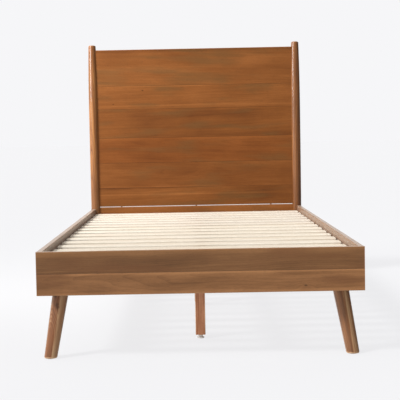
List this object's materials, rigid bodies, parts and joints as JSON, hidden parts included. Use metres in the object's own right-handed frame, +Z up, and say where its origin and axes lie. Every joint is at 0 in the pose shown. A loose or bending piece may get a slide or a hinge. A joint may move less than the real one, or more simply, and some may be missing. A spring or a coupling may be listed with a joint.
{
  "type": "wooden bed frame",
  "caption": "Low wooden bed frame with a plank headboard between round posts, splayed front legs, slatted deck and adjustable feet under the centre beam.",
  "frame": {"origin": "on the floor, under the middle of the bed", "axes": "+X to the right seen from the foot, +Y towards the headboard, +Z up"},
  "size_m": [1.0511, 1.9921, 1.165],
  "materials": {
    "headboard_wood": "reddish-brown stained hardwood boards with a satin clear coat",
    "rail_wood": "brown stained hardwood boards with a satin clear coat",
    "post_wood": "turned reddish-brown hardwood with a glossy clear coat",
    "leg_wood": "reddish-brown hardwood with a satin clear coat",
    "slat_wood": "planed pale softwood, unfinished",
    "support_wood": "planed softwood, unfinished",
    "leveller_plastic": "white moulded nylon",
    "glide_plastic": "dark brown moulded plastic",
    "zinc_steel": "bright zinc plated steel",
    "fastener_steel": "zinc plated screws, bolts and nuts"
  },
  "bodies": {
    "bed_frame": {"barrel_nuts": "fastener_steel", "beam_hanger_foot": "zinc_steel", "beam_hanger_head": "zinc_steel", "centre_beam": "support_wood", "centre_leg_bolts": "fastener_steel", "centre_leg_front": "leg_wood", "centre_leg_rear": "leg_wood", "corner_block_bolts": "fastener_steel", "corner_block_left": "support_wood", "corner_block_right": "support_wood", "corner_block_screws": "fastener_steel", "foot_glides": "glide_plastic", "footboard_lower": "rail_wood", "footboard_upper": "rail_wood", "front_leg_left": "leg_wood", "front_leg_right": "leg_wood", "hanger_screws": "fastener_steel", "headboard_board_1": "headboard_wood", "headboard_board_2": "headboard_wood", "headboard_board_3": "headboard_wood", "headboard_board_4": "headboard_wood", "headboard_board_5": "headboard_wood", "headboard_board_6": "headboard_wood", "headboard_lower_rail": "headboard_wood", "headboard_post_left": "post_wood", "headboard_post_right": "post_wood", "ledger_screws": "fastener_steel", "leg_bolts": "fastener_steel", "leg_inserts": "fastener_steel", "leveller_inserts": "fastener_steel", "rail_bolts": "fastener_steel", "rail_inserts": "fastener_steel", "side_rail_left_lower": "rail_wood", "side_rail_left_upper": "rail_wood", "side_rail_right_lower": "rail_wood", "side_rail_right_upper": "rail_wood", "slat_01": "slat_wood", "slat_02": "slat_wood", "slat_03": "slat_wood", "slat_04": "slat_wood", "slat_05": "slat_wood", "slat_06": "slat_wood", "slat_07": "slat_wood", "slat_08": "slat_wood", "slat_09": "slat_wood", "slat_10": "slat_wood", "slat_11": "slat_wood", "slat_12": "slat_wood", "slat_13": "slat_wood", "slat_14": "slat_wood", "slat_ledger_left": "support_wood", "slat_ledger_right": "support_wood", "slat_screws": "fastener_steel", "spacer_dowels": "support_wood"},
    "leveller_front": {"leveller_pad_front": "leveller_plastic", "leveller_stem_front": "zinc_steel"},
    "leveller_rear": {"leveller_pad_rear": "leveller_plastic", "leveller_stem_rear": "zinc_steel"}
  },
  "joints": [
    {"name": "leveller_front_height", "type": "slide", "parent": "bed_frame", "child": "leveller_front", "axis": [0, 0, 1], "range_m": [-0.012, 0.001]},
    {"name": "leveller_rear_height", "type": "slide", "parent": "bed_frame", "child": "leveller_rear", "axis": [0, 0, 1], "range_m": [-0.012, 0.001]}
  ]
}
